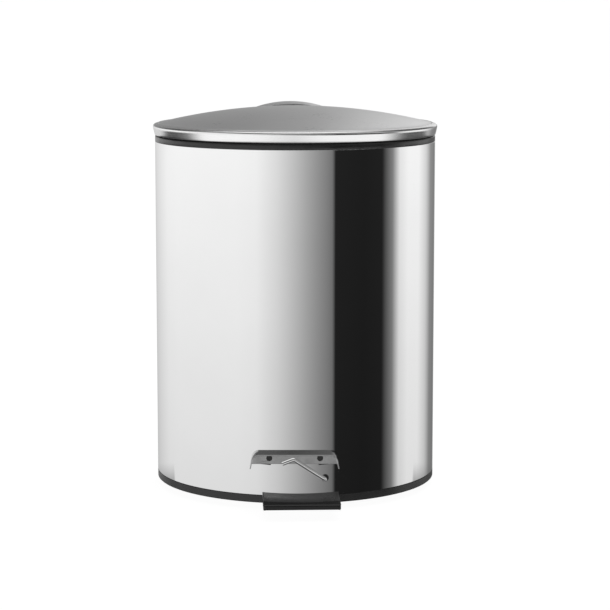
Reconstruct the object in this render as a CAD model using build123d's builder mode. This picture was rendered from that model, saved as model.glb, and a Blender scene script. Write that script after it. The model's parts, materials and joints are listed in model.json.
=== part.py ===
"""Pedal bin: polished steel shell, domed lid on a rear hinge, pedal and push rod, lift-out bucket.

Millimetres, +Z up. The origin is the centre of the underside, on the floor. The pedal points to -Y
and the lid hinge is at +Y. Every piece is its own solid in its own STEP file.
"""

from build123d import *
import os
from math import asin, cos, degrees, radians, sin, sqrt

os.makedirs("parts", exist_ok=True)

# ---------------------------------------------------------------- driving dimensions

# Shell and base
shell_radius = 102.5
shell_wall = 0.6
shell_inner = shell_radius - shell_wall
foot_height = 5.0
ring_height = 5.65
shell_bottom = foot_height + ring_height
shell_top = 253.7
fit_gap = 0.1
foot_radius = 74.0
foot_sheet = 2.0
base_wall = 2.0
upstand_top = 26.0

# Rim and bucket
rim_top = 257.9
ledge_top = 255.9
ledge_inner = 94.5
rim_skirt_bottom = 240.0
bucket_bottom = 37.0
bucket_radius_bottom = 84.5
bucket_radius_top = 89.0
bucket_wall = 1.6
bucket_flange = 1.5
bucket_flange_radius = 98.5

# Lid
lid_radius = 104.0
lid_sheet = 0.8
lid_bottom = 258.3
dome_edge_radius = 100.6
dome_edge_z = 266.4
apex_z = 278.7
liner_wall = 1.6
liner_gap = 0.4

# Hinge, push rod and pedal
hinge_y = 110.0
hinge_z = 261.0
hinge_pin_radius = 2.0
run_gap = 0.06
lid_open_angle = 75.0
rod_radius = 1.75
rod_y = 96.5
rod_travel = 19.8
pivot_y = -88.0
pivot_z = 13.5
axle_radius = 2.0
strip_half_width = 10.0
strip_thickness = 1.6
strip_bottom = 8.6
strip_top = strip_bottom + strip_thickness

# Pedal pad
pad_half_width = 26.8
pad_front_y = -136.3
pad_gap = 0.8
pad_bottom = 8.4
pad_top_back = 12.7
pad_top_front = 12.0

# Guard and catch, on a line turned a little from the pedal's
guard_turn = -2.25
guard_sheet = 0.9
guard_half_width = 30.5
guard_flare = 0.8
guard_bottom = 33.7
guard_top = 43.7
guard_depth = 17.3
guard_stand_off = 0.2
rivet_x = 17.8
rivet_z = 38.1
catch_radius = 1.5
catch_x = 20.9
catch_z = 22.7

# Bail of the bucket
bail_wire_radius = 1.5
bail_radius = 80.0
bail_bend = 3.0
bail_z = 246.0
bail_grip_radius = 3.0

# Clearances of pins in holes, and how far a cutting tool runs past what it cuts
tight_gap = 0.02
past = 1.0


def save(builder, name):
    """Label a finished piece and write its STEP file."""
    builder.part.label = name
    export_step(builder.part, f"parts/{name}.step")


def ring_profile(points):
    """Turn a closed outline of (radius, z) points once round the Z axis."""
    with BuildSketch(Plane.XZ) as outline:
        with BuildLine():
            Polyline(*points, close=True)
        make_face()
    revolve(outline.sketch, axis=Axis.Z)


def pins(plane, places, radius, length, mode=Mode.ADD):
    """Round pins that start on a plane, at each place, and run along its normal."""
    with BuildSketch(plane) as discs:
        with Locations(*places):
            Circle(radius)
    extrude(discs.sketch, amount=length, mode=mode)


def cut_box(x_span, y_span, z_span, mode=Mode.SUBTRACT):
    """A box from its three spans, cut away unless told otherwise."""
    sizes = [high - low for low, high in (x_span, y_span, z_span)]
    middle = [(low + high) / 2 for low, high in (x_span, y_span, z_span)]
    with Locations(tuple(middle)):
        Box(*sizes, mode=mode)


def side_plane(x):
    """A plane across X whose sketch axes are the bin's Y and Z, with its normal along +X."""
    return Plane(origin=(x, 0, 0), x_dir=(0, 1, 0), z_dir=(1, 0, 0))


guard_frame = Plane.XY.rotated((0, 0, guard_turn))


def group_point(x, y, z):
    """A point given on the guard's own turned axes, in the bin's frame."""
    return guard_frame.from_local_coords(Vector(x, y, z))


# ---------------------------------------------------------------- shell, base and foot

# Where the catch wire goes through the shell, and the outward normal there
catch_angle = degrees(asin(catch_x / shell_radius)) + guard_turn
catch_out = Vector(sin(radians(catch_angle)), -cos(radians(catch_angle)), 0)
catch_point = catch_out * shell_radius + Vector(0, 0, catch_z)
catch_hole_radius = 2.65
catch_hole_shift = Vector(0.5, 0, 0.45)

# The guard's back, seen from the front, and its two rivets
guard_front = Plane(
    origin=group_point(0, -shell_radius - guard_stand_off, 0),
    x_dir=guard_frame.x_dir,
    z_dir=-guard_frame.y_dir,
)
rivet_places = [(-rivet_x, rivet_z), (rivet_x, rivet_z)]

# The slot for the lid's lever, and the screws at the back
lever_slot_x = (-4.0, 11.0)
lever_slot_bottom = 247.5
rear_screw_x = 8.0
upper_guide_z = 230.0
lower_guide_z = 70.0
screw_radius = 1.5
screw_reach = 94.5
rear_face = Plane(origin=(0, 90, 0), x_dir=(1, 0, 0), z_dir=(0, 1, 0))
rear_depth = 20


def catch_plane(distance):
    """A plane across the catch's axis, a distance from the bin's own axis."""
    return Plane(origin=catch_out * distance + Vector(0, 0, catch_z), z_dir=catch_out)


def screw_places(z):
    """The pair of screws at a height, on the sketch axes of the rear face."""
    return [(-rear_screw_x, -z), (rear_screw_x, -z)]


with BuildPart() as outer_shell:
    with BuildSketch(Plane.XY.offset(shell_bottom)):
        Circle(shell_radius)
        Circle(shell_inner, mode=Mode.SUBTRACT)
    extrude(amount=shell_top - shell_bottom)
    cut_box(lever_slot_x, (rod_y, hinge_y), (lever_slot_bottom, shell_top + past))
    hole_start = catch_plane(shell_radius - 8).origin + catch_hole_shift
    pins(Plane(origin=hole_start, z_dir=catch_out), [(0, 0)], catch_hole_radius, 12, Mode.SUBTRACT)
    pins(guard_front.offset(-12), rivet_places, screw_radius + fit_gap, 20, Mode.SUBTRACT)
    for screw_z in (upper_guide_z, lower_guide_z):
        pins(rear_face, screw_places(screw_z), screw_radius + fit_gap, rear_depth, Mode.SUBTRACT)
save(outer_shell, "outer_shell")

ring_chamfer = 0.4
upstand_outer = shell_inner - fit_gap
upstand_inner = upstand_outer - base_wall
base_floor_top = foot_height + base_wall
ear_inner = strip_half_width + 0.6
ear_outer = ear_inner + 3.6
ear_bottom = foot_height + 0.5
ear_top = pivot_z + 4.2
ear_half_length = 5.2
strip_slot_half = strip_half_width + 1.5
strip_slot_z = (6.3, 12.4)
strip_slot_depth = 8.0
rod_foot_notch_half = 6.0
rod_foot_notch_y = 97.0
catch_boss_radius = 3.5
catch_boss_inner = 90.0
catch_boss_outer = shell_inner - 0.4

with BuildPart() as base:
    ring_profile([
        (0, foot_sheet),
        (foot_radius, foot_sheet),
        (foot_radius, foot_height),
        (shell_radius - ring_chamfer, foot_height),
        (shell_radius, foot_height + ring_chamfer),
        (shell_radius, shell_bottom - ring_chamfer),
        (shell_radius - ring_chamfer, shell_bottom),
        (upstand_outer, shell_bottom),
        (upstand_outer, upstand_top),
        (upstand_inner, upstand_top),
        (upstand_inner, base_floor_top),
        (foot_radius - base_wall, base_floor_top),
        (foot_radius - base_wall, foot_sheet + base_wall),
        (0, foot_sheet + base_wall),
    ])
    pins(catch_plane(catch_boss_inner), [(0, 0)], catch_boss_radius, catch_boss_outer - catch_boss_inner)
    pins(catch_plane(catch_boss_inner - past), [(0, 0)], catch_radius + run_gap, 14, Mode.SUBTRACT)
    for side in (-1, 1):
        ear_x = sorted((side * ear_inner, side * ear_outer))
        cut_box(ear_x, (pivot_y - ear_half_length, pivot_y + ear_half_length), (ear_bottom, ear_top),
                Mode.ADD)
    pins(side_plane(-ear_outer - past), [(pivot_y, pivot_z)], axle_radius + tight_gap,
         2 * (ear_outer + past), Mode.SUBTRACT)
    cut_box((-strip_slot_half, strip_slot_half), (-shell_radius - past, -shell_radius + strip_slot_depth),
            strip_slot_z)
    cut_box((-rod_foot_notch_half, rod_foot_notch_half), (rod_foot_notch_y, upstand_outer + past),
            (base_floor_top, upstand_top + past))
save(base, "base")

foot_edge = 0.4
with BuildPart() as foot_disc:
    with BuildSketch():
        Circle(foot_radius - 0.5)
    extrude(amount=foot_sheet)
    chamfer(foot_disc.edges().group_by(Axis.Z)[0], length=foot_edge)
save(foot_disc, "foot_disc")

# ---------------------------------------------------------------- rim ring

rim_skirt_outer = shell_inner - fit_gap
rim_skirt_inner = rim_skirt_outer - 2.0
rim_step = rim_skirt_inner - 0.9
rim_edge = 0.5
ledge_bottom = ledge_top - 1.6

with BuildPart() as rim_ring:
    ring_profile([
        (rim_skirt_inner, rim_skirt_bottom),
        (rim_skirt_outer, rim_skirt_bottom),
        (rim_skirt_outer, shell_top),
        (shell_radius, shell_top),
        (shell_radius, rim_top - rim_edge),
        (shell_radius - rim_edge, rim_top),
        (rim_step, rim_top),
        (rim_step, ledge_top),
        (ledge_inner, ledge_top),
        (ledge_inner, ledge_bottom),
        (rim_skirt_inner, ledge_bottom),
    ])
    cut_box(lever_slot_x, (ledge_inner - 10, hinge_y), (lever_slot_bottom, rim_top + past))
save(rim_ring, "rim_ring")

# ---------------------------------------------------------------- rear hinge, fixed side

bracket_half_width = 17.0
bracket_bottom = 222.0
bracket_plate_top = 247.5
bracket_plate_y = shell_radius + 2.9
bracket_root_y = 95.0
bracket_corner = 5.0
hinge_ear_thickness = 4.0
hinge_ear_radius = 5.4
hinge_ear_foot = bracket_bottom + 10
lid_room = lid_radius + 0.9

with BuildPart() as hinge_bracket:
    cut_box((-bracket_half_width, bracket_half_width), (bracket_root_y, bracket_plate_y),
            (bracket_bottom, bracket_plate_top), Mode.ADD)
    fillet(hinge_bracket.edges().filter_by(Axis.Y).group_by(Axis.Z)[0], radius=bracket_corner)
    for side in (-1, 1):
        inner = side * (bracket_half_width - hinge_ear_thickness)
        with BuildSketch(side_plane(min(inner, side * bracket_half_width))):
            with Locations((hinge_y, hinge_z)):
                Circle(hinge_ear_radius)
            with BuildLine():
                Polyline(
                    (bracket_root_y, hinge_ear_foot),
                    (bracket_plate_y, hinge_ear_foot),
                    (hinge_y + hinge_ear_radius, hinge_z),
                    (hinge_y - hinge_ear_radius, hinge_z),
                    (hinge_y - hinge_ear_radius, bracket_plate_top),
                    (bracket_root_y, bracket_plate_top),
                    close=True,
                )
            make_face()
        extrude(amount=hinge_ear_thickness)
    with BuildSketch(Plane.XY.offset(bracket_bottom - past)):
        Circle(shell_radius + fit_gap)
    extrude(amount=shell_top - bracket_bottom + past, mode=Mode.SUBTRACT)
    with BuildSketch(Plane.XY.offset(shell_top - past)):
        Circle(lid_room)
    extrude(amount=20, mode=Mode.SUBTRACT)
    pins(side_plane(-bracket_half_width - past), [(hinge_y, hinge_z)], hinge_pin_radius + tight_gap,
         2 * (bracket_half_width + past), Mode.SUBTRACT)
    pins(rear_face, screw_places(upper_guide_z), screw_radius + fit_gap, rear_depth, Mode.SUBTRACT)
save(hinge_bracket, "hinge_bracket")

pin_end = bracket_half_width + 1.2
pin_chamfer = 0.4
with BuildPart() as hinge_pin:
    pins(side_plane(-pin_end), [(hinge_y, hinge_z)], hinge_pin_radius, 2 * pin_end)
    chamfer(hinge_pin.edges().filter_by(GeomType.CIRCLE), length=pin_chamfer)
save(hinge_pin, "hinge_pin")

# Push-on caps for the ends of cross pins
pin_cap_radius = 3.6
pin_cap_sheet = 0.9
pin_cap_gap = 0.05


def end_caps(inner_x, y, z, hole_radius, outer_radius, thickness):
    """Two push-on caps, one on each end of a cross pin."""
    for start in (-inner_x - thickness, inner_x):
        with BuildSketch(side_plane(start)) as washer:
            with Locations((y, z)):
                Circle(outer_radius)
                Circle(hole_radius, mode=Mode.SUBTRACT)
        extrude(washer.sketch, amount=thickness)


with BuildPart() as hinge_pin_caps:
    end_caps(bracket_half_width + pin_cap_gap, hinge_y, hinge_z, hinge_pin_radius + tight_gap,
             pin_cap_radius, pin_cap_sheet)
save(hinge_pin_caps, "hinge_pin_caps")

guide_half_width = 12.0
guide_height = 12.0
guide_front_y = 92.3


def guide_block(z_middle):
    """A block inside the shell's back with a bore that the push rod slides in."""
    low = z_middle - guide_height / 2
    cut_box((-guide_half_width, guide_half_width), (guide_front_y, shell_radius + past),
            (low, low + guide_height), Mode.ADD)
    with BuildSketch(Plane.XY.offset(low - past)) as outside:
        Circle(shell_radius + 20)
        Circle(shell_inner - fit_gap, mode=Mode.SUBTRACT)
    extrude(outside.sketch, amount=guide_height + 2 * past, mode=Mode.SUBTRACT)
    pins(Plane.XY.offset(low - past), [(0, rod_y)], rod_radius + run_gap, guide_height + 2 * past,
         Mode.SUBTRACT)
    pins(rear_face, screw_places(z_middle), screw_radius + tight_gap, rear_depth, Mode.SUBTRACT)


with BuildPart() as rod_guide_upper:
    guide_block(upper_guide_z)
save(rod_guide_upper, "rod_guide_upper")

with BuildPart() as rod_guide_lower:
    guide_block(lower_guide_z)
save(rod_guide_lower, "rod_guide_lower")

screw_head_radius = 3.0
screw_head_height = 1.8
screw_recess = (3.0, 0.7)
screw_recess_depth = 0.8


def rear_screws(head_y, z):
    """Two cross-head screws from behind the bin, into a guide block."""
    seat = Plane(origin=(0, head_y, 0), x_dir=(1, 0, 0), z_dir=(0, 1, 0))
    pins(seat, screw_places(z), screw_head_radius, screw_head_height)
    pins(seat.offset(screw_reach - head_y), screw_places(z), screw_radius, head_y - screw_reach)
    length, width = screw_recess
    for side in (-1, 1):
        with Locations((side * rear_screw_x, head_y + screw_head_height, z)):
            Box(length, 2 * screw_recess_depth, width, mode=Mode.SUBTRACT)
            Box(width, 2 * screw_recess_depth, length, mode=Mode.SUBTRACT)


with BuildPart() as bracket_screws:
    rear_screws(bracket_plate_y, upper_guide_z)
save(bracket_screws, "bracket_screws")

with BuildPart() as guide_screws:
    rear_screws(shell_radius, lower_guide_z)
save(guide_screws, "guide_screws")

# ---------------------------------------------------------------- lid

sphere_drop = apex_z - dome_edge_z
dome_sphere = (dome_edge_radius**2 + sphere_drop**2) / (2 * sphere_drop)
dome_centre_z = apex_z - dome_sphere


def dome_point(radius, inset):
    """The point of the dome at a radius, moved in from its outer face."""
    return (radius, dome_centre_z + sqrt((dome_sphere - inset) ** 2 - radius**2))


# The lid's side below the dome: a round shoulder, a straight side and a rolled-in edge
shoulder_drop = 3.1
shoulder_bulge = 0.95
roll_height = 2.6
roll_depth = 1.5
roll_bulge = (0.45, 1.1)


def lid_outline(inset, edge):
    """The lid's outer line moved in by an inset, from the apex down to its bottom edge."""
    dome_edge = dome_point(dome_edge_radius - edge, inset)
    side = lid_radius - inset
    shoulder_end = (side, dome_edge[1] - shoulder_drop)
    shoulder_middle = (side - shoulder_bulge, dome_edge[1] - shoulder_bulge)
    roll_start = (side, lid_bottom + roll_height)
    roll_middle = (side - roll_bulge[0], lid_bottom + roll_bulge[1])
    ThreePointArc((0, apex_z - inset), dome_point(dome_edge_radius / 2, inset), dome_edge)
    ThreePointArc(dome_edge, shoulder_middle, shoulder_end)
    Line(shoulder_end, roll_start)
    ThreePointArc(roll_start, roll_middle, (side - roll_depth, lid_bottom))


hinge_notch_half = 19.0
hinge_notch_top = 265.6
hinge_notch_y = 96.0

with BuildPart() as lid_shell:
    with BuildSketch(Plane.XZ):
        with BuildLine():
            lid_outline(0, 0)
            Line((lid_radius - roll_depth, lid_bottom), (lid_radius - lid_sheet - roll_depth, lid_bottom))
            lid_outline(lid_sheet, 0.2)
            Line((0, apex_z - lid_sheet), (0, apex_z))
        make_face()
    revolve(axis=Axis.Z)
    cut_box((-hinge_notch_half, hinge_notch_half), (hinge_notch_y, hinge_y),
            (lid_bottom - past, hinge_notch_top))
save(lid_shell, "lid_shell")

liner_outer = lid_radius - lid_sheet - roll_depth - fit_gap
liner_lip_inner = 99.2
liner_bottom = 259.2
liner_inset = lid_sheet + liner_gap
liner_under = liner_inset + liner_wall
liner_edge_radius = 98.0
liner_under_radius = liner_lip_inner - 2.0
dome_half_way = 50.0
knuckle_half = 12.4
knuckle_radius = 5.0
knuckle_room = 5.3
web_bottom = 259.3
web_top = 264.4
lever_x = (4.2, 6.7)
lever_slot_gap = 0.2
lever_seat_top = web_top - 0.8

with BuildPart() as lid_liner:
    with BuildSketch(Plane.XZ):
        with BuildLine():
            top_edge = dome_point(liner_edge_radius, liner_inset)
            under_edge = dome_point(liner_under_radius, liner_under)
            ThreePointArc((0, apex_z - liner_inset), dome_point(dome_half_way, liner_inset), top_edge)
            Polyline(
                top_edge,
                (liner_outer, top_edge[1] - 2.6),
                (liner_outer, liner_bottom),
                (liner_lip_inner, liner_bottom),
                (liner_lip_inner, under_edge[1] - 2.0),
                under_edge,
            )
            ThreePointArc(under_edge, dome_point(dome_half_way, liner_under), (0, apex_z - liner_under))
            Line((0, apex_z - liner_under), (0, apex_z - liner_inset))
        make_face()
    revolve(axis=Axis.Z)
    cut_box((-knuckle_half, knuckle_half), (liner_lip_inner + 0.3, hinge_y), (web_bottom, web_top), Mode.ADD)
    pins(side_plane(-knuckle_half), [(hinge_y, hinge_z)], knuckle_radius, 2 * knuckle_half)
    slot_x = (lever_x[0] - lever_slot_gap, lever_x[1] + lever_slot_gap)
    slot_rear = hinge_y + 8
    cut_box(slot_x, (liner_under_radius - 0.2, slot_rear), (liner_bottom - 9, lever_seat_top))
    cut_box(slot_x, (hinge_y - knuckle_room, slot_rear), (liner_bottom - 9, hinge_z + knuckle_room + 0.7))
    pins(side_plane(-knuckle_half - past), [(hinge_y, hinge_z)], hinge_pin_radius + run_gap,
         2 * (knuckle_half + past), Mode.SUBTRACT)
save(lid_liner, "lid_liner")

# The lever's arm points down to the push rod when the lid is shut. Its slot takes the sideways
# shift and the small difference between the arm's arc and the rod's even travel.
arm_angle = lid_open_angle / 2
slot_near = (hinge_y - rod_y) - 0.1
slot_far = (hinge_y - rod_y) / cos(radians(arm_angle)) + 0.3
slot_half_width = rod_radius + 0.62
arm_end_radius = slot_half_width + 2.0
arm_root_radius = 4.8
tail_length = 12.0
tail_height = web_top - 1.1 - hinge_z


def arm_point(distance):
    """A point on the lever arm's centre line, as Y and Z."""
    return (
        hinge_y - distance * cos(radians(arm_angle)),
        hinge_z - distance * sin(radians(arm_angle)),
    )


with BuildPart() as lid_lever:
    with BuildSketch(side_plane(lever_x[0])):
        with Locations((hinge_y, hinge_z)):
            Circle(arm_root_radius)
        with Locations(arm_point(slot_far)):
            Circle(arm_end_radius)
        make_hull()
        with Locations((hinge_y - tail_length / 2, hinge_z + tail_height / 2)):
            Rectangle(tail_length, tail_height)
        with Locations((hinge_y, hinge_z)):
            Circle(hinge_pin_radius + run_gap, mode=Mode.SUBTRACT)
        slot_middle = arm_point((slot_near + slot_far) / 2)
        with Locations(Location(slot_middle, arm_angle)):
            SlotCenterToCenter(slot_far - slot_near, 2 * slot_half_width, mode=Mode.SUBTRACT)
    extrude(amount=lever_x[1] - lever_x[0])
save(lid_lever, "lid_lever")

# Arched cover over the hinge: an arch seen from the front, a lens seen from above
cap_top = 276.6
cap_arch = 92.0
cap_rear_y = 121.0
cap_plan_radius = 51.8
cap_front_radius = 76.0
cap_bottom = 257.2
cap_sheet = 0.9
cap_half_width = 44.0
cap_rear_round = 6.0
cap_front_round = 4.0
cap_notch_half = 18.6
cap_notch_top = 264.4


def arch_face(form):
    """The arched top face of the cover, the one whose normal points up."""
    round_faces = form.faces().filter_by(GeomType.CYLINDER)
    return [face for face in round_faces if face.normal_at(face.center()).Z > 0.7][0]


def cap_solid(inset):
    """The cover's outer form, moved in by an inset."""
    with BuildPart() as form:
        with BuildSketch(Plane.XY.offset(cap_bottom)):
            with Locations((0, cap_rear_y - cap_plan_radius)):
                Circle(cap_plan_radius - inset)
            Circle(cap_front_radius + inset, mode=Mode.SUBTRACT)
            with Locations((0, hinge_y)):
                Rectangle(2 * (cap_half_width - inset), cap_rear_y, mode=Mode.INTERSECT)
        extrude(amount=cap_top + past - cap_bottom)
        with BuildSketch(Plane(origin=(0, 0, 0), x_dir=(1, 0, 0), z_dir=(0, 1, 0))):
            with Locations((0, cap_arch - cap_top)):
                Circle(cap_arch - inset)
        extrude(amount=cap_rear_y + past, mode=Mode.INTERSECT)
        fillet(arch_face(form).edges().sort_by(Axis.Y)[-1], radius=cap_rear_round - inset)
        fillet(arch_face(form).edges().sort_by(Axis.Y)[0], radius=cap_front_round - inset)
    return form.part


# The lid's whole outer form, a seam's width larger, trims the cover to the lid
seam = 0.05
with BuildPart() as lid_bulk:
    with BuildSketch(Plane.XZ):
        with BuildLine():
            lid_outline(-seam, 0)
            edge_x = lid_radius + seam - roll_depth
            Polyline((edge_x, lid_bottom), (edge_x, lid_bottom - 5), (0, lid_bottom - 5), (0, apex_z + seam))
        make_face()
    revolve(axis=Axis.Z)

# A notch in the cover's rear wall clears the bracket's ears as the lid swings over them
with BuildPart() as hinge_cap:
    add(cap_solid(0))
    add(cap_solid(cap_sheet), mode=Mode.SUBTRACT)
    add(lid_bulk.part, mode=Mode.SUBTRACT)
    cut_box((-cap_notch_half, cap_notch_half), (hinge_y, cap_rear_y + past),
            (cap_bottom - past, cap_notch_top))
save(hinge_cap, "hinge_cap")

bumper_radius = 1.1
bumper_circle = (liner_lip_inner + liner_outer) / 2 - 0.1

with BuildPart() as lid_bumpers:
    with BuildSketch(Plane.XY.offset(rim_top + fit_gap)):
        with PolarLocations(bumper_circle, 3, start_angle=-90):
            Circle(bumper_radius)
    extrude(amount=liner_bottom - rim_top - fit_gap)
save(lid_bumpers, "lid_bumpers")

# ---------------------------------------------------------------- push rod

hook_z = hinge_z - rod_travel / 2
rod_bend = 4.0
rod_foot_radius = 4.0
rod_foot_low = strip_top + 0.3
rod_foot_rim = rod_foot_low + 0.6
rod_foot_top = rod_foot_low + 9.0
rod_low = rod_foot_low + 2.5
hook_end = 9.0
clip_radius = 3.4
clip_sheet = 0.8
rod_clip_x = 7.1

with BuildPart() as push_rod:
    with BuildLine():
        FilletPolyline((0, rod_y, rod_low), (0, rod_y, hook_z), (hook_end, rod_y, hook_z), radius=rod_bend)
    with BuildSketch(Plane.XY.offset(rod_low)):
        with Locations((0, rod_y)):
            Circle(rod_radius)
    sweep()
save(push_rod, "push_rod")

with BuildPart() as rod_foot:
    with BuildSketch(Plane(origin=(0, rod_y, 0), x_dir=(1, 0, 0), z_dir=(0, -1, 0))):
        with BuildLine():
            ThreePointArc((0, rod_foot_low), (rod_foot_radius / 2, rod_foot_low + 0.15),
                          (rod_foot_radius, rod_foot_rim))
            Polyline((rod_foot_radius, rod_foot_rim), (rod_foot_radius, rod_foot_top - 1),
                     (rod_foot_radius - 0.8, rod_foot_top), (rod_radius, rod_foot_top),
                     (rod_radius, rod_low), (0, rod_low), (0, rod_foot_low))
        make_face()
    revolve(axis=Axis(origin=(0, rod_y, 0), direction=(0, 0, 1)))
save(rod_foot, "rod_foot")

with BuildPart() as rod_clip:
    with BuildSketch(side_plane(rod_clip_x)):
        with Locations((rod_y, hook_z)):
            Circle(clip_radius)
            Circle(rod_radius, mode=Mode.SUBTRACT)
    extrude(amount=clip_sheet)
save(rod_clip, "rod_clip")

# ---------------------------------------------------------------- pedal

strip_front = -129.0
strip_rear = 99.0
strip_corner = 4.0
pivot_ear_radius = 4.0
pad_rivet_places = [(0, -112), (0, -123)]
pad_rivet_radius = 1.55
pad_rivet_hole = 1.6
pad_rivet_head = 3.0
pad_rivet_sink = 0.9

with BuildPart() as pedal_lever:
    with BuildSketch(Plane.XY.offset(strip_bottom)):
        with Locations((0, (strip_front + strip_rear) / 2)):
            RectangleRounded(2 * strip_half_width, strip_rear - strip_front, strip_corner)
    extrude(amount=strip_thickness)
    for start in (-strip_half_width, strip_half_width - strip_thickness):
        with BuildSketch(side_plane(start)):
            with Locations((pivot_y, pivot_z)):
                Circle(pivot_ear_radius)
            with Locations((pivot_y, (strip_bottom + pivot_z) / 2)):
                Rectangle(2 * pivot_ear_radius, pivot_z - strip_bottom)
        extrude(amount=strip_thickness)
    pins(side_plane(-strip_half_width - past), [(pivot_y, pivot_z)], axle_radius + run_gap,
         2 * (strip_half_width + past), Mode.SUBTRACT)
    pins(Plane.XY, pad_rivet_places, pad_rivet_hole, strip_top + past, Mode.SUBTRACT)
save(pedal_lever, "pedal_lever")

axle_end = ear_outer + 1.4
with BuildPart() as pedal_axle:
    pins(side_plane(-axle_end), [(pivot_y, pivot_z)], axle_radius, 2 * axle_end)
    chamfer(pedal_axle.edges().filter_by(GeomType.CIRCLE), length=pin_chamfer)
save(pedal_axle, "pedal_axle")

with BuildPart() as axle_clips:
    end_caps(ear_outer + pin_cap_gap, pivot_y, pivot_z, axle_radius + tight_gap, pin_cap_radius,
             pin_cap_sheet)
save(axle_clips, "axle_clips")

# The pad's top is dished across its width and falls a little towards the toe
pad_dish = 0.5
pad_dish_radius = pad_half_width**2 / (2 * pad_dish)
pad_crown_y = -128.0
pad_root_y = -92.0
pad_top_edge = (1.0, 0.8)
pad_bottom_edge = 0.3
pad_corner = 2.0
strip_room = 0.1

with BuildPart() as pedal_pad:
    with BuildSketch(side_plane(-pad_half_width)):
        with BuildLine():
            Polyline(
                (pad_root_y, pad_bottom),
                (pad_root_y, pad_top_back + pad_dish),
                (pad_crown_y, pad_top_back + pad_dish),
                (pad_front_y + pad_top_edge[0], pad_top_front),
                (pad_front_y, pad_top_front - pad_top_edge[1]),
                (pad_front_y, pad_bottom + pad_bottom_edge),
                (pad_front_y + pad_bottom_edge, pad_bottom),
                close=True,
            )
        make_face()
    extrude(amount=2 * pad_half_width)
    pins(Plane(origin=(0, pad_front_y - past, 0), x_dir=(1, 0, 0), z_dir=(0, 1, 0)),
         [(0, seam - pad_top_back - pad_dish_radius)], pad_dish_radius, pad_root_y - pad_front_y + 2 * past,
         Mode.SUBTRACT)
    with BuildSketch(Plane.XY):
        Circle(shell_radius + pad_gap)
    extrude(amount=2 * pad_top_back, mode=Mode.SUBTRACT)
    fillet(pedal_pad.edges().filter_by(Axis.Z).group_by(Axis.Y)[0], radius=pad_corner)
    cut_box((-strip_half_width - strip_room, strip_half_width + strip_room),
            (strip_front - 2 * strip_room, pad_root_y), (0, strip_top))
    pins(Plane.XY.offset(strip_top - past), pad_rivet_places, pad_rivet_hole, pad_rivet_sink + fit_gap + past,
         Mode.SUBTRACT)
save(pedal_pad, "pedal_pad")

with BuildPart() as pad_rivets:
    pins(Plane.XY.offset(strip_bottom - pad_rivet_sink), pad_rivet_places, pad_rivet_head, pad_rivet_sink)
    pins(Plane.XY.offset(strip_bottom), pad_rivet_places, pad_rivet_radius, strip_thickness + pad_rivet_sink)
    fillet(pad_rivets.edges().group_by(Axis.Z)[0], radius=0.6)
save(pad_rivets, "pad_rivets")

# Rubber rest on the base's floor, under the lever's rear
bumper_y = 84.0
bumper_size = (16.0, 9.0)
bumper_corner = 2.0

with BuildPart() as lever_bumper:
    with BuildSketch(Plane.XY.offset(base_floor_top)):
        with Locations((0, bumper_y)):
            RectangleRounded(*bumper_size, bumper_corner)
    extrude(amount=strip_bottom - base_floor_top - fit_gap)
save(lever_bumper, "lever_bumper")

# ---------------------------------------------------------------- bucket and bail

# Recess for the lid's lever, and the two ledges that the bail lies on
recess_half = 15.0
recess_bottom = 249.5
rest_angle = 36.0
rest_radius = 84.9
rest_size = (5.6, 5.0, 3.0)
rest_bottom = bail_z - bail_wire_radius - 3.1
bucket_floor = 1.8
bucket_chamfer = 3.0
bail_hole_radius = bail_wire_radius + 0.08
flange_low = ledge_top + 0.05


def bucket_radius(z):
    """The bucket's outer radius at a height, on its even taper."""
    share = (z - bucket_bottom) / (ledge_top - bucket_bottom)
    return bucket_radius_bottom + share * (bucket_radius_top - bucket_radius_bottom)


with BuildPart() as inner_bucket:
    ring_profile([
        (0, bucket_bottom),
        (bucket_radius_bottom - bucket_chamfer, bucket_bottom),
        (bucket_radius_bottom, bucket_bottom + bucket_chamfer),
        (bucket_radius_top, flange_low),
        (bucket_flange_radius, flange_low),
        (bucket_flange_radius, flange_low + bucket_flange),
        (bucket_radius_top - bucket_wall, flange_low + bucket_flange),
        (bucket_radius_bottom - bucket_wall, bucket_bottom + bucket_chamfer),
        (bucket_radius_bottom - bucket_wall - 2, bucket_bottom + bucket_floor),
        (0, bucket_bottom + bucket_floor),
    ])
    cut_box((-recess_half, recess_half), (bail_radius, bucket_flange_radius + past),
            (recess_bottom, rim_top + past))
    for side in (-1, 1):
        with BuildSketch(Plane.XY.offset(rest_bottom)):
            with PolarLocations(rest_radius, 1, start_angle=-90 + side * rest_angle):
                Rectangle(rest_size[0], rest_size[1])
        extrude(amount=rest_size[2])
    pins(side_plane(-bucket_flange_radius), [(0, bail_z)], bail_hole_radius, 2 * bucket_flange_radius,
         Mode.SUBTRACT)
save(inner_bucket, "inner_bucket")

bail_side = bucket_radius(bail_z)
bail_tip = bail_side + 1.6
bail_head_radius = 2.8
bail_head_sheet = 0.9

with BuildPart() as bail_handle:
    with BuildLine(Plane.XY.offset(bail_z)):
        left_end = Line((-bail_tip, 0), (-bail_radius - bail_bend, 0))
        left_bend = JernArc(left_end @ 1, left_end % 1, bail_bend, -90)
        right_end = Line((bail_tip, 0), (bail_radius + bail_bend, 0))
        right_bend = JernArc(right_end @ 1, right_end % 1, bail_bend, 90)
        ThreePointArc(left_bend @ 1, (0, -bail_bend - bail_radius), right_bend @ 1)
    with BuildSketch(side_plane(-bail_tip)):
        with Locations((0, bail_z)):
            Circle(bail_wire_radius)
    sweep()
save(bail_handle, "bail_handle")

with BuildPart() as bail_heads:
    end_caps(bail_side + 0.3, 0, bail_z, bail_wire_radius, bail_head_radius, bail_head_sheet)
save(bail_heads, "bail_heads")

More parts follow.
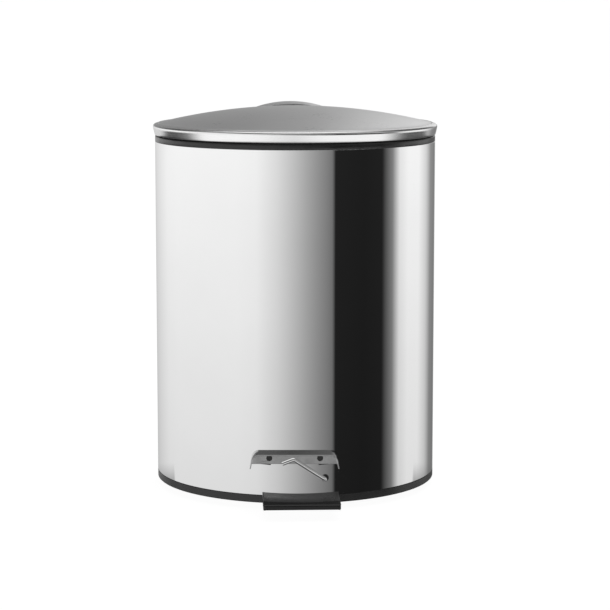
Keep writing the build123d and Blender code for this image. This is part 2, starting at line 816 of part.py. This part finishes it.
grip_half_angle = 18.0
grip_start = radians(-90 - grip_half_angle)
hoop_centre = Vector(0, -bail_bend, bail_z)
grip_plane = Plane(
    origin=hoop_centre,
    x_dir=(cos(grip_start), sin(grip_start), 0),
    z_dir=(-sin(grip_start), cos(grip_start), 0),
)

with BuildPart() as bail_grip:
    with BuildSketch(grip_plane):
        with Locations((bail_radius, 0)):
            Circle(bail_grip_radius)
            Circle(bail_wire_radius, mode=Mode.SUBTRACT)
    revolve(axis=Axis((0, -bail_bend, 0), (0, 0, 1)), revolution_arc=2 * grip_half_angle)
save(bail_grip, "bail_grip")

# ---------------------------------------------------------------- guard and catch

guard_bend = 5.0
guard_bend_ease = 0.3
guard_lean = 0.2


def guard_line(inset):
    """The hood's bent line, seen from the front, moved in by an inset. Gives its foot's X."""
    foot = guard_half_width + guard_flare - inset
    side = guard_half_width - guard_lean - inset
    bend_low = guard_top - guard_bend
    bend_in = guard_half_width - guard_bend
    top = guard_top - inset
    bend_radius = guard_bend - inset + guard_bend_ease
    Line((-foot, guard_bottom), (-side, bend_low))
    RadiusArc((-side, bend_low), (-bend_in, top), bend_radius)
    Line((-bend_in, top), (bend_in, top))
    RadiusArc((bend_in, top), (side, bend_low), bend_radius)
    Line((side, bend_low), (foot, guard_bottom))
    return foot


with BuildPart() as guard:
    with BuildSketch(guard_front):
        with BuildLine():
            outer_foot = guard_line(0)
            inner_foot = guard_line(guard_sheet)
            for side in (-1, 1):
                Line((side * outer_foot, guard_bottom), (side * inner_foot, guard_bottom))
        make_face()
    extrude(amount=guard_depth)
    with BuildSketch(guard_front):
        with BuildLine():
            plate_foot = guard_line(0)
            Line((-plate_foot, guard_bottom), (plate_foot, guard_bottom))
        make_face()
    extrude(amount=guard_sheet)
    pins(guard_front.offset(-past), rivet_places, screw_radius + fit_gap, guard_sheet + 2 * past,
         Mode.SUBTRACT)
save(guard, "guard")

rivet_head_radius = 2.15
rivet_head_height = 1.3
rivet_depth = 6.0

with BuildPart() as guard_rivets:
    pins(guard_front.offset(guard_sheet), rivet_places, rivet_head_radius, rivet_head_height)
    pins(guard_front.offset(-rivet_depth), rivet_places, screw_radius, rivet_depth + guard_sheet)
    pins(guard_front.offset(-rivet_depth), rivet_places, rivet_head_radius, 1.0)
save(guard_rivets, "guard_rivets")

# Rubber pads that fill the gap between the guard's flat back and the round shell
spacer_inner_x = 13.5
spacer_lip_x = 16.8
spacer_outer_x = 25.5
spacer_height = 7.0
spacer_lip = 0.9

with BuildPart() as guard_spacers:
    with BuildSketch(guard_front.offset(-tight_gap)):
        for side in (-1, 1):
            with BuildLine():
                Polyline(
                    (side * spacer_inner_x, guard_bottom + spacer_height),
                    (side * spacer_outer_x, guard_bottom + spacer_height),
                    (side * spacer_outer_x, guard_bottom),
                    (side * spacer_lip_x, guard_bottom - spacer_lip),
                    (side * spacer_lip_x, guard_bottom),
                    (side * spacer_inner_x, guard_bottom),
                    close=True,
                )
            make_face()
    extrude(amount=-8)
    with BuildSketch(Plane.XY.offset(guard_bottom - spacer_lip - past)):
        Circle(shell_radius + seam)
    extrude(amount=spacer_height + spacer_lip + 2 * past, mode=Mode.SUBTRACT)
    pins(guard_front.offset(-9), rivet_places, screw_radius + fit_gap, 12, Mode.SUBTRACT)
save(guard_spacers, "guard_spacers")

# The wire runs inward through the base's boss, and outward to a bend, an elbow and a short free leg
catch_inner = catch_plane(87.5).origin
catch_corner = catch_point + catch_out * 3.2
catch_elbow = group_point(-0.7, -112.0, 38.8)
catch_end = group_point(-8.6, -113.0, 35.9)
catch_bends = [2.4, 2.6]

with BuildPart() as catch_wire:
    with BuildLine():
        FilletPolyline(catch_inner, catch_corner, catch_elbow, catch_end, radius=catch_bends)
    with BuildSketch(Plane(origin=catch_inner, z_dir=catch_out)):
        Circle(catch_radius)
    sweep()
save(catch_wire, "catch_wire")

with BuildPart() as catch_clip:
    with BuildSketch(catch_plane(catch_boss_inner - 1.0)):
        Circle(clip_radius)
        Circle(catch_radius, mode=Mode.SUBTRACT)
    extrude(amount=clip_sheet)
save(catch_clip, "catch_clip")
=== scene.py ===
"""Pedal bin: the looks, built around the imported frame. Metres, +Z up, pedal towards -Y."""

import json
import math

import bmesh
import bpy
from mathutils import Matrix, Vector


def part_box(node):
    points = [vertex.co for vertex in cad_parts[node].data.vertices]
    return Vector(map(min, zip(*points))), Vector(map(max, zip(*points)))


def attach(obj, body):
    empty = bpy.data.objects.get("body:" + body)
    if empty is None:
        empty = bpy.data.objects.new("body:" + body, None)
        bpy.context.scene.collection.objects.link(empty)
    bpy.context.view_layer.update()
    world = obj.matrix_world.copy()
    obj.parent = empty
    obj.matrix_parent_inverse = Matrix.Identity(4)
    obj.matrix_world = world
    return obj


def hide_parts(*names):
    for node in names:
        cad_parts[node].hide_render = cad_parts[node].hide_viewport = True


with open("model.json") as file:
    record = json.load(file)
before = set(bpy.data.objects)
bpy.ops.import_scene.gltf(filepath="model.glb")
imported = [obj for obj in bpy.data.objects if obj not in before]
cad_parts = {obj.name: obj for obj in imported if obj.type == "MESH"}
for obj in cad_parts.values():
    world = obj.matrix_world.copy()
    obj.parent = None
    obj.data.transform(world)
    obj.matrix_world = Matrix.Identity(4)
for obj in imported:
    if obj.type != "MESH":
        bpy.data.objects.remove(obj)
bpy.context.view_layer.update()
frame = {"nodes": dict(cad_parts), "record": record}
MM = 0.001

# ---------------------------------------------------------------- sizes from the frame

shell_low, shell_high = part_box("outer_shell")
lid_low, lid_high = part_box("lid_shell")
SHELL_R = (shell_high.x - shell_low.x) / 2
LID_R = (lid_high.x - lid_low.x) / 2
CREASE_Z = lid_low.z + 7.9 * MM

# ---------------------------------------------------------------- sizes of the finer sheets

SHELL_WALL = 0.6 * MM
SHELL_HEM = 0.15 * MM
SEAM_HALF_WIDTH = 0.25 * MM
SEAM_DEPTH = 0.07 * MM
CATCH_HOLE_R = 2.65 * MM
CATCH_HOLE_SHIFT = Vector((0.5, 0.0, 0.45)) * MM
CATCH_HOLE_START = 8.0 * MM
CATCH_HOLE_LENGTH = 12.0 * MM
LEVER_SLOT_LOW = Vector((-4.0, 96.5, 247.5)) * MM
LEVER_SLOT_HIGH = Vector((11.0, 110.0, 255.0)) * MM
LID_NOTCH_LOW = Vector((-19.0, 96.0, 250.0)) * MM
LID_NOTCH_HIGH = Vector((19.0, 112.0, 265.6)) * MM
LID_SHEET = 0.8 * MM
# The lid's edge as (distance inside its widest radius, height above its hem), in millimetres:
# the dome's edge, the bead at the crease, the shoulder, the side that leans in, and the rolled hem
LID_OUTSIDE = [
    (7.0, 8.98), (4.6, 8.54), (4.0, 8.52), (3.55, 8.62), (3.15, 8.54), (2.8, 8.32), (2.2, 8.14), (1.3, 7.86),
    (0.6, 7.45), (0.15, 6.8), (0.05, 6.1), (0.1, 5.3), (0.4, 3.9), (0.78, 2.2), (1.05, 1.1), (1.35, 0.3),
    (1.8, 0.0), (2.2, 0.35),
]
# The same for the inside, from the hem up to the dome's underside
LID_INSIDE = [(2.1, 1.4), (1.1, 3.6), (1.1, 5.2), (2.2, 6.6), (4.0, 7.6), (8.0, 8.43)]

# ---------------------------------------------------------------- camera

CAMERA_SPOT = Vector((-56.7, -1627.3, 364.1)) * MM
CAMERA_TURN = math.radians(2.25)
CAMERA_PITCH = math.radians(8.126)
CAMERA_LENS = 130.96


def make_camera():
    """The camera looks along +Y, turned a little and pitched down a little."""
    data = bpy.data.cameras.new("camera")
    data.lens = CAMERA_LENS
    data.sensor_width = 36.0
    data.clip_end = 200.0
    camera = bpy.data.objects.new("camera", data)
    bpy.context.scene.collection.objects.link(camera)
    camera.location = CAMERA_SPOT
    camera.rotation_euler = (math.pi / 2 - CAMERA_PITCH, 0.0, -CAMERA_TURN)
    bpy.context.scene.camera = camera


# ---------------------------------------------------------------- node helpers


def grey(tone):
    """A linear grey from a display tone of 0 to 255."""
    value = tone / 255
    return value / 12.92 if value <= 0.04045 else ((value + 0.055) / 1.055) ** 2.4


def plain_grey(tone):
    """A colour of one display tone."""
    return (*[grey(tone)] * 3, 1)


class Nodes:
    """Short calls for building a node tree."""

    def __init__(self, tree):
        self.tree = tree
        self.tree.nodes.clear()

    def put(self, value, socket):
        """Link a socket, or set a plain value."""
        if isinstance(value, bpy.types.NodeSocket):
            self.tree.links.new(value, socket)
        else:
            socket.default_value = value

    def add(self, kind, **inputs):
        """A node with its inputs set by name, or by number as i0, i1 and so on."""
        node = self.tree.nodes.new(kind)
        for key, value in inputs.items():
            socket = node.inputs[int(key[1:])] if key[1:].isdigit() else node.inputs[key]
            self.put(value, socket)
        return node

    def math(self, operation, first, second=0.0):
        """A math node's result."""
        node = self.tree.nodes.new("ShaderNodeMath")
        node.operation = operation
        self.put(first, node.inputs[0])
        self.put(second, node.inputs[1])
        return node.outputs[0]

    def link(self, output, target):
        """Join two sockets."""
        self.tree.links.new(output, target)

    def ramp(self, factor, stops):
        """A grey ramp from (place, linear grey) stops."""
        node = self.tree.nodes.new("ShaderNodeValToRGB")
        elements = node.color_ramp.elements
        elements[0].position = stops[0][0]
        elements[1].position = stops[-1][0]
        elements[0].color = (stops[0][1],) * 3 + (1,)
        elements[1].color = (stops[-1][1],) * 3 + (1,)
        for place, value in stops[1:-1]:
            elements.new(place).color = (value,) * 3 + (1,)
        self.link(factor, node.inputs[0])
        return node.outputs[0]


# ---------------------------------------------------------------- studio

# Display tones that the upright shell mirrors, by the angle round from the camera, to its right
LEVEL_TONES = [
    (-180, 186), (-172, 192), (-165, 205), (-127, 240), (-110, 260), (-88, 266), (-60, 264), (-46, 256),
    (-29, 240), (-12, 218), (0, 194), (12, 166), (20, 147), (28, 128), (33.2, 112), (34.4, 32), (60, 29),
    (78, 32), (89, 128), (97, 226), (108, 264), (124, 266), (138, 210), (150, 140), (165, 122), (180, 186),
]
# The table, as the lid's side mirrors it
TABLE_TONES = [
    (-180, 90), (-150, 60), (-120, 62), (-106, 85), (-97, 120), (-89, 195), (-81, 250), (-66, 280),
    (-28, 278), (2, 224), (28, 278), (70, 278), (80, 245), (88, 210), (94, 172), (100, 130), (108, 82),
    (130, 74), (180, 90),
]
# Above the horizon: dark in front, brightest behind to the right
UPPER_TONES = [
    (-180, 160), (-172, 142), (-150, 140), (-130, 100), (-105, 90), (-78, 190), (-35, 110), (0, 92),
    (35, 110), (78, 190), (100, 110), (130, 80), (150, 112), (160, 205), (168, 262), (174, 256), (180, 164),
]
OVERHEAD_TONE = 250
UNDER_TONE = 75
# The share of light that the polished steel returns
MIRROR = 0.90
ROUND_SHIFT = math.radians(4.5)
# Where one zone turns into the next, as (how far the ray points up or down, share of the next zone)
TABLE_EDGE = [(0.255, 0.0), (0.268, 1.0)]
TABLE_EDGE_BEHIND = [(0.0, 0.0), (0.30, 0.012), (0.47, 0.043)]
UNDER_EDGE = [(0.50, 0.0), (0.72, 1.0)]
UPPER_EDGE = [(0.0, 0.0), (0.10, 1.0)]
OVERHEAD_EDGE = [(0.76, 0.0), (0.90, 1.0)]
# How the tent and the wall above it fade away from the horizon
LEVEL_FADE = [(0.07, 1.0), (0.24, 0.77)]
UPPER_FADE = [(0.13, 1.0), (0.46, 0.68)]


def tone_ramp(n, share, tones):
    """A ramp all the way round from a list of (angle in degrees, display tone)."""
    stops = [((angle + 180) / 360, min(1.0, grey(tone) / MIRROR)) for angle, tone in tones]
    return n.ramp(share, stops)


def blend_colours(n, factor, first, second, mode="MIX"):
    """One colour turning into another."""
    node = n.tree.nodes.new("ShaderNodeMix")
    node.data_type = "RGBA"
    node.blend_type = mode
    for value, place in ((factor, 0), (first, 6), (second, 7)):
        n.put(value, node.inputs[place])
    return node.outputs[2]


def make_world():
    """A soft studio: a light tent with a dark flag to the right, over a table. The camera sees white."""
    world = bpy.data.worlds.new("studio")
    bpy.context.scene.world = world
    world.use_nodes = True
    n = Nodes(world.node_tree)
    ray = n.add("ShaderNodeTexCoord").outputs["Generated"]
    turned = n.add("ShaderNodeVectorRotate", Vector=ray, Angle=ROUND_SHIFT)
    turned.rotation_type = "Z_AXIS"
    parts = n.add("ShaderNodeSeparateXYZ", Vector=turned.outputs[0])
    x, y, z = parts.outputs
    angle = n.math("ARCTAN2", x, n.math("MULTIPLY", y, -1.0))
    share = n.math("ADD", n.math("DIVIDE", angle, 2 * math.pi), 0.5)
    depth = n.math("MULTIPLY", z, -1.0)
    level = blend_colours(n, 1.0, tone_ramp(n, share, LEVEL_TONES), n.ramp(depth, LEVEL_FADE), "MULTIPLY")
    table = tone_ramp(n, share, TABLE_TONES)
    upper = blend_colours(n, 1.0, tone_ramp(n, share, UPPER_TONES), n.ramp(z, UPPER_FADE), "MULTIPLY")
    below = n.ramp(n.math("ADD", depth, n.ramp(y, TABLE_EDGE_BEHIND)), TABLE_EDGE)
    colour = blend_colours(n, below, level, table)
    colour = blend_colours(n, n.ramp(depth, UNDER_EDGE), colour, plain_grey(UNDER_TONE))
    colour = blend_colours(n, n.ramp(z, UPPER_EDGE), colour, upper)
    colour = blend_colours(n, n.ramp(z, OVERHEAD_EDGE), colour, plain_grey(OVERHEAD_TONE))
    tent = n.add("ShaderNodeBackground", Color=colour)
    white = n.add("ShaderNodeBackground", Color=(1, 1, 1, 1))
    seen = n.add("ShaderNodeLightPath").outputs["Is Camera Ray"]
    mix = n.add("ShaderNodeMixShader", i0=seen, i1=tent.outputs[0], i2=white.outputs[0])
    n.add("ShaderNodeOutputWorld", Surface=mix.outputs[0])


def make_floor():
    """A pale seamless floor, which mirrors leave out: the world stands for the table in them."""
    mesh = bpy.data.meshes.new("floor")
    half = 60.0
    corners = [(-half, -half, 0), (half, -half, 0), (half, half, 0), (-half, half, 0)]
    mesh.from_pydata(corners, [], [(0, 1, 2, 3)])
    floor = bpy.data.objects.new("floor", mesh)
    bpy.context.scene.collection.objects.link(floor)
    material = bpy.data.materials.new("pale_floor")
    material.use_nodes = True
    n = Nodes(material.node_tree)
    diffuse = n.add("ShaderNodeBsdfDiffuse", Color=(0.10, 0.10, 0.10, 1))
    glow = n.add("ShaderNodeEmission", Color=(1, 1, 1, 1), Strength=0.965)
    total = n.add("ShaderNodeAddShader", i0=diffuse.outputs[0], i1=glow.outputs[0])
    n.add("ShaderNodeOutputMaterial", Surface=total.outputs[0])
    floor.data.materials.append(material)
    floor.visible_glossy = False


def make_lights():
    """One wide soft light overhead."""
    data = bpy.data.lights.new("overhead", "AREA")
    data.shape = "RECTANGLE"
    data.size = 1.6
    data.size_y = 1.6
    data.energy = 9.0
    lamp = bpy.data.objects.new("overhead", data)
    bpy.context.scene.collection.objects.link(lamp)
    lamp.location = (0.4, -0.2, 1.9)
    lamp.rotation_euler = (0.0, math.radians(12), 0.0)
    lamp.visible_camera = False
    lamp.visible_glossy = False


# ---------------------------------------------------------------- materials


def principled(name, tone, metallic, roughness):
    """A material with a Principled shader, and the tree to build on."""
    material = bpy.data.materials.new(name)
    material.use_nodes = True
    n = Nodes(material.node_tree)
    shader = n.add("ShaderNodeBsdfPrincipled")
    shader.inputs["Base Color"].default_value = (tone, tone, tone, 1)
    shader.inputs["Metallic"].default_value = metallic
    shader.inputs["Roughness"].default_value = roughness
    n.add("ShaderNodeOutputMaterial", Surface=shader.outputs[0])
    return material, n, shader


def noise(n, place, scale, detail=3.0, rough=0.55):
    """Noise at a place, at a scale per metre."""
    return n.add("ShaderNodeTexNoise", Vector=place, Scale=scale, Detail=detail, Roughness=rough).outputs[0]


def stretched(n, place, factors):
    """A place with each axis multiplied, so that grain runs along the axis with the small factor."""
    node = n.tree.nodes.new("ShaderNodeVectorMath")
    node.operation = "MULTIPLY"
    n.put(place, node.inputs[0])
    n.put(factors, node.inputs[1])
    return node.outputs[0]


def object_place(n):
    """The place on the piece, in metres."""
    return n.add("ShaderNodeTexCoord").outputs["Object"]


def around_axis(n, place):
    """A place that barely changes on the way round the upright axis, for grain that runs round it."""
    parts = n.add("ShaderNodeSeparateXYZ", Vector=place)
    x, y, z = parts.outputs
    radius = n.math("SQRT", n.math("ADD", n.math("MULTIPLY", x, x), n.math("MULTIPLY", y, y)))
    length = n.math("ADD", radius, 0.001)
    across, along = (n.math("MULTIPLY", n.math("DIVIDE", value, length), 0.01) for value in (x, y))
    return n.add("ShaderNodeCombineXYZ", X=across, Y=along, Z=n.math("ADD", radius, z)).outputs[0]


def spread(n, value, low, high, start=0.3, stop=0.7):
    """A value between start and stop, spread from low to high."""
    node = n.add("ShaderNodeMapRange", Value=value)
    node.inputs["From Min"].default_value = start
    node.inputs["From Max"].default_value = stop
    node.inputs["To Min"].default_value = low
    node.inputs["To Max"].default_value = high
    return node.outputs[0]


def tint(n, value, low, high, start=0.3, stop=0.7):
    """A grey that varies with noise, between two linear greys."""
    level = spread(n, value, low, high, start, stop)
    return n.add("ShaderNodeCombineColor", Red=level, Green=level, Blue=level).outputs[0]


def bump(n, shader, height, distance, strength=0.5):
    """Bump from a height field."""
    node = n.add("ShaderNodeBump", Height=height, Strength=strength, Distance=distance)
    n.link(node.outputs[0], shader.inputs["Normal"])


def polished_steel():
    """Mirror-polished sheet: the faint cloudiness and hairlines that buffing leaves."""
    material, n, shader = principled("polished_steel", MIRROR, 1.0, 0.03)
    place = object_place(n)
    cloud = noise(n, place, 14, 4)
    hair = noise(n, stretched(n, place, (30, 30, 1100)), 1.0, 5, 0.7)
    n.link(tint(n, cloud, MIRROR - 0.012, MIRROR + 0.012), shader.inputs["Base Color"])
    rough = n.math("ADD", spread(n, cloud, 0.018, 0.034), spread(n, hair, 0.0, 0.014, 0.55, 0.8))
    n.link(rough, shader.inputs["Roughness"])
    return material


def satin_steel():
    """Satin sheet, spun fine round the axis, and smoother below the crease."""
    material, n, shader = principled("satin_steel", 0.92, 1.0, 0.3)
    place = object_place(n)
    spun = noise(n, around_axis(n, place), 2600, 4, 0.65)
    cloud = noise(n, place, 22, 4)
    height = n.add("ShaderNodeSeparateXYZ", Vector=place).outputs[2]
    edge = spread(n, height, 0.14, 0.0, CREASE_Z - 1.2 * MM, CREASE_Z + 0.2 * MM)
    n.link(tint(n, spun, 0.89, 0.96), shader.inputs["Base Color"])
    rough = n.math("ADD", spread(n, spun, 0.27, 0.33), spread(n, cloud, -0.02, 0.03))
    n.link(n.math("SUBTRACT", rough, edge), shader.inputs["Roughness"])
    bump(n, shader, spun, 0.006 * MM, 0.35)
    return material


def bright_steel(name, tone, roughness, grain):
    """Bright bent or drawn steel: fine grain along the piece, faint handling marks."""
    material, n, shader = principled(name, tone, 1.0, roughness)
    place = object_place(n)
    lines = noise(n, stretched(n, place, grain), 1.0, 4, 0.65)
    marks = noise(n, place, 160, 3)
    n.link(tint(n, marks, tone - 0.05, tone + 0.04), shader.inputs["Base Color"])
    rough = n.math("ADD", spread(n, lines, roughness - 0.03, roughness + 0.03), spread(n, marks, -0.02, 0.03))
    n.link(rough, shader.inputs["Roughness"])
    bump(n, shader, lines, 0.008 * MM, 0.3)
    return material


def zinc_steel():
    """Zinc plating: a soft spangle, dull and slightly uneven, with rubbed spots."""
    material, n, shader = principled("zinc_steel", 0.55, 1.0, 0.38)
    place = object_place(n)
    cells = n.add("ShaderNodeTexVoronoi", Vector=place, Scale=420.0)
    spangle = n.add("ShaderNodeSeparateColor", Color=cells.outputs["Color"]).outputs[0]
    cloud = noise(n, place, 120, 5, 0.6)
    mottle = n.math("ADD", n.math("MULTIPLY", spangle, 0.4), n.math("MULTIPLY", cloud, 0.6))
    n.link(tint(n, mottle, 0.46, 0.62), shader.inputs["Base Color"])
    n.link(spread(n, cloud, 0.30, 0.46), shader.inputs["Roughness"])
    bump(n, shader, noise(n, place, 900, 3), 0.02 * MM, 0.35)
    return material


def moulding(name, tone, roughness, grain, depth, wear=0.0, specular=0.5):
    """Black moulding: spark-eroded grain, cloudy gloss, and scuffs where it is touched."""
    material, n, shader = principled(name, tone, 0.0, roughness)
    shader.inputs["Specular IOR Level"].default_value = specular
    place = object_place(n)
    texture = noise(n, place, grain, 3, 0.6)
    cloud = noise(n, place, 45, 4)
    scuff = spread(n, noise(n, stretched(n, place, (900, 240, 900)), 1.0, 5, 0.7), 0.0, wear, 0.58, 0.78)
    shade = n.math("ADD", spread(n, cloud, tone * 0.85, tone * 1.2), n.math("MULTIPLY", scuff, 0.02))
    colour = n.add("ShaderNodeCombineColor", Red=shade, Green=shade, Blue=shade)
    n.link(colour.outputs[0], shader.inputs["Base Color"])
    rough = spread(n, cloud, roughness - 0.04, roughness + 0.05)
    n.link(n.math("ADD", rough, n.math("MULTIPLY", scuff, 0.15)), shader.inputs["Roughness"])
    bump(n, shader, texture, depth, 0.5)
    return material


MATERIALS = {
    "polished_steel": polished_steel(),
    "satin_steel": satin_steel(),
    "bent_steel": bright_steel("bent_steel", 0.48, 0.12, (60, 900, 60)),
    "wire_steel": bright_steel("wire_steel", 0.92, 0.07, (220, 220, 220)),
    "zinc_steel": zinc_steel(),
    "black_moulding": moulding("black_moulding", 0.012, 0.22, 2200, 0.01 * MM),
    "pedal_black": moulding("pedal_black", 0.006, 0.24, 2600, 0.02 * MM, 0.32, 0.4),
    "bucket_black": moulding("bucket_black", 0.018, 0.46, 1500, 0.04 * MM, 0.3),
    "black_rubber": moulding("black_rubber", 0.014, 0.72, 1800, 0.04 * MM, 0.2, 0.3),
    "black_hardware": moulding("black_hardware", 0.010, 0.34, 2400, 0.01 * MM, 0.3),
}


def dress_cad():
    """Give every CAD node the good material of its slot."""
    slots = {row["node"]: row["material_slot"] for row in frame["record"]["subparts"]}
    for name, node in frame["nodes"].items():
        for holder in node.material_slots:
            holder.material = MATERIALS[slots[name]]


# ---------------------------------------------------------------- meshes


def finish_piece(mesh, name, body, slot, *nodes):
    """Link a mesh as a piece that stands for CAD nodes and rides on their body."""
    piece = bpy.data.objects.new(name, mesh)
    bpy.context.scene.collection.objects.link(piece)
    mesh.materials.clear()
    mesh.materials.append(MATERIALS[slot])
    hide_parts(*nodes)
    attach(piece, body)
    return piece


def smooth_line(points, steps):
    """A smooth line through points, by Catmull-Rom."""
    line = []
    ends = [points[0]] + list(points) + [points[-1]]
    for a, b, c, d in zip(ends, ends[1:], ends[2:], ends[3:]):
        for step in range(steps):
            t = step / steps
            line.append(tuple(
                0.5 * (2 * b[i] + (c[i] - a[i]) * t + (2 * a[i] - 5 * b[i] + 4 * c[i] - d[i]) * t**2
                       + (3 * b[i] - a[i] - 3 * c[i] + d[i]) * t**3)
                for i in range(2)
            ))
    line.append(tuple(points[-1]))
    return line


def lathe(profile, angles, closed=True):
    """Turn a line of (radius, z) round the upright axis; a zero radius closes it at the axis."""
    bm = bmesh.new()
    rings = []
    for radius, z in profile:
        if radius < 1e-6:
            rings.append([bm.verts.new((0, 0, z))])
        else:
            rings.append([bm.verts.new((radius * math.sin(a), -radius * math.cos(a), z)) for a in angles])
    pairs = list(zip(rings, rings[1:] + rings[:1])) if closed else list(zip(rings, rings[1:]))
    count = len(angles)
    for low, high in pairs:
        for i in range(count):
            j = (i + 1) % count
            corners = [low[i % len(low)], low[j % len(low)], high[j % len(high)], high[i % len(high)]]
            corners = list(dict.fromkeys(corners))
            if len(corners) > 2:
                bm.faces.new(corners)
    bmesh.ops.recalc_face_normals(bm, faces=bm.faces)
    return bm


def even_angles(count):
    """Angles all the way round, from the front."""
    return [2 * math.pi * i / count for i in range(count)]


def to_mesh(bm, name, sharp=35.0):
    """A smooth-shaded mesh whose edges sharper than an angle stay crisp."""
    mesh = bpy.data.meshes.new(name)
    bm.to_mesh(mesh)
    bm.free()
    mesh.shade_smooth()
    mesh.set_sharp_from_angle(angle=math.radians(sharp))
    return mesh


def cut(mesh, cutters):
    """Cut closed forms away from a mesh, exactly."""
    target = bpy.data.objects.new("target", mesh)
    bpy.context.scene.collection.objects.link(target)
    tools = []
    for bm in cutters:
        tool_mesh = bpy.data.meshes.new("tool")
        bm.to_mesh(tool_mesh)
        bm.free()
        tool = bpy.data.objects.new("tool", tool_mesh)
        bpy.context.scene.collection.objects.link(tool)
        tools.append(tool)
        modifier = target.modifiers.new("cut", "BOOLEAN")
        modifier.operation = "DIFFERENCE"
        modifier.solver = "EXACT"
        modifier.object = tool
    result = bpy.data.meshes.new_from_object(target.evaluated_get(bpy.context.evaluated_depsgraph_get()))
    for item in (target, *tools):
        bpy.data.objects.remove(item)
    return result


def block(low, high):
    """A closed box, as a cutter."""
    bm = bmesh.new()
    bmesh.ops.create_cube(bm, size=1.0)
    for vert in bm.verts:
        for i in range(3):
            vert.co[i] = low[i] if vert.co[i] < 0 else high[i]
    return bm


def drill(start, direction, radius, length):
    """A closed round bar, as a cutter."""
    bm = bmesh.new()
    turn = direction.to_track_quat("Z", "Y").to_matrix().to_4x4()
    place = Matrix.Translation(start + direction * length / 2) @ turn
    bmesh.ops.create_cone(bm, cap_ends=True, segments=64, radius1=radius, radius2=radius, depth=length,
                          matrix=place)
    return bm


def true_normals(mesh, steepest):
    """Exact shading: upright round walls take the true round form's normal, the rest stay flat."""
    normals = []
    for face in mesh.polygons:
        flat = face.normal
        for index in face.loop_indices:
            point = mesh.vertices[mesh.loops[index].vertex_index].co
            out = Vector((point.x, point.y, 0)).normalized()
            if abs(flat.z) < steepest and abs(flat.dot(out)) > 0.98:
                normals.append(out if flat.dot(out) > 0 else -out)
            else:
                normals.append(flat)
    mesh.normals_split_custom_set(normals)


def make_shell():
    """The polished shell: a rolled tube with its weld seam down the back and the holes that show."""
    low, high = shell_low.z, shell_high.z
    rows = 8
    step = (high - low - 2 * SHELL_HEM) / rows
    side = [(SHELL_R, low + SHELL_HEM + step * i) for i in range(rows + 1)]
    ends = [(SHELL_R - SHELL_HEM, high), (SHELL_R - SHELL_WALL, high), (SHELL_R - SHELL_WALL, low)]
    profile = [(SHELL_R - SHELL_HEM, low)] + side + ends
    seam_half = SEAM_HALF_WIDTH / SHELL_R
    back = math.pi
    angles = [a for a in even_angles(512) if abs(a - back) > seam_half * 2]
    angles += [back - seam_half, back - seam_half * 0.5, back + seam_half * 0.5, back + seam_half]
    bm = lathe(profile, sorted(angles))
    for vert in bm.verts:
        if abs(vert.co.x) < SEAM_HALF_WIDTH * 0.7 and vert.co.y > SHELL_R - SHELL_HEM * 1.5:
            vert.co.y -= SEAM_DEPTH
    mesh = bpy.data.meshes.new("outer_shell_sheet")
    bm.to_mesh(mesh)
    bm.free()
    joint = next(j for j in frame["record"]["behaviour"]["joints"] if j["name"] == "catch_turn")
    spot, out = Vector(joint["pos_m"]), Vector(joint["axis"])
    start = spot + CATCH_HOLE_SHIFT - out * CATCH_HOLE_START
    hole = drill(start, out, CATCH_HOLE_R, CATCH_HOLE_LENGTH)
    slot = block(LEVER_SLOT_LOW, LEVER_SLOT_HIGH)
    mesh = cut(mesh, [hole, slot])
    mesh.shade_smooth()
    true_normals(mesh, 0.2)
    return finish_piece(mesh, "outer_shell_sheet", "bin_body", "polished_steel", "outer_shell")


def dome_line(reach, sphere, centre, steps):
    """Points of a sphere's arc, from the upright axis out to a radius."""
    radii = [reach * i / steps for i in range(steps + 1)]
    return [(radius, centre + math.sqrt(sphere**2 - radius**2)) for radius in radii]


def make_lid():
    """The satin lid: a dome, a fine raised bead at its edge, a side that leans in and a rolled hem."""
    apex, bottom = lid_high.z, lid_low.z
    side, inner = (
        [(LID_R - inside * MM, bottom + height * MM) for inside, height in points]
        for points in (LID_OUTSIDE, LID_INSIDE)
    )
    edge_r, edge_z = side[0]
    drop = apex - edge_z
    sphere = (edge_r**2 + drop**2) / (2 * drop)
    centre = apex - sphere
    dome = dome_line(edge_r, sphere, centre, 48)
    under = dome_line(inner[-1][0], sphere - LID_SHEET, centre, 12)[-2::-1]
    profile = dome + smooth_line(side, 5)[1:] + smooth_line(inner, 3) + under
    bm = lathe(profile, even_angles(384), closed=False)
    mesh = to_mesh(bm, "lid_dome")
    mesh = cut(mesh, [block(LID_NOTCH_LOW, LID_NOTCH_HIGH)])
    mesh.set_sharp_from_angle(angle=math.radians(35))
    return finish_piece(mesh, "lid_dome", "lid", "satin_steel", "lid_shell")


def soften(node, width, segments=3, angle=28.0):
    """Round a CAD node's crisp edges a little, so that they catch the light."""
    piece = frame["nodes"][node]
    weld = piece.modifiers.new("weld", "WELD")
    weld.merge_threshold = 0.002 * MM
    bevel = piece.modifiers.new("edge", "BEVEL")
    bevel.width = width
    bevel.segments = segments
    bevel.limit_method = "ANGLE"
    bevel.angle_limit = math.radians(angle)
    bevel.harden_normals = True
    bevel.use_clamp_overlap = False


# ---------------------------------------------------------------- build

# Widths of the softened edges, in millimetres
EDGE_WIDTHS = {"guard": 0.32, "pedal_pad": 0.45, "rim_ring": 0.3, "hinge_cap": 0.12, "guard_rivets": 0.3}
# What stands close in front of the polished shell, which shows the studio alone
NEAR_PIECES = (
    "guard", "guard_rivets", "guard_spacers", "catch_wire", "pedal_pad", "pad_rivets", "pedal_lever",
)

make_camera()
make_world()
make_floor()
make_lights()
dress_cad()
make_shell()
make_lid()
for name, width in EDGE_WIDTHS.items():
    soften(name, width * MM)
for name in NEAR_PIECES:
    frame["nodes"][name].visible_glossy = False

bpy.context.scene.view_settings.view_transform = "Standard"
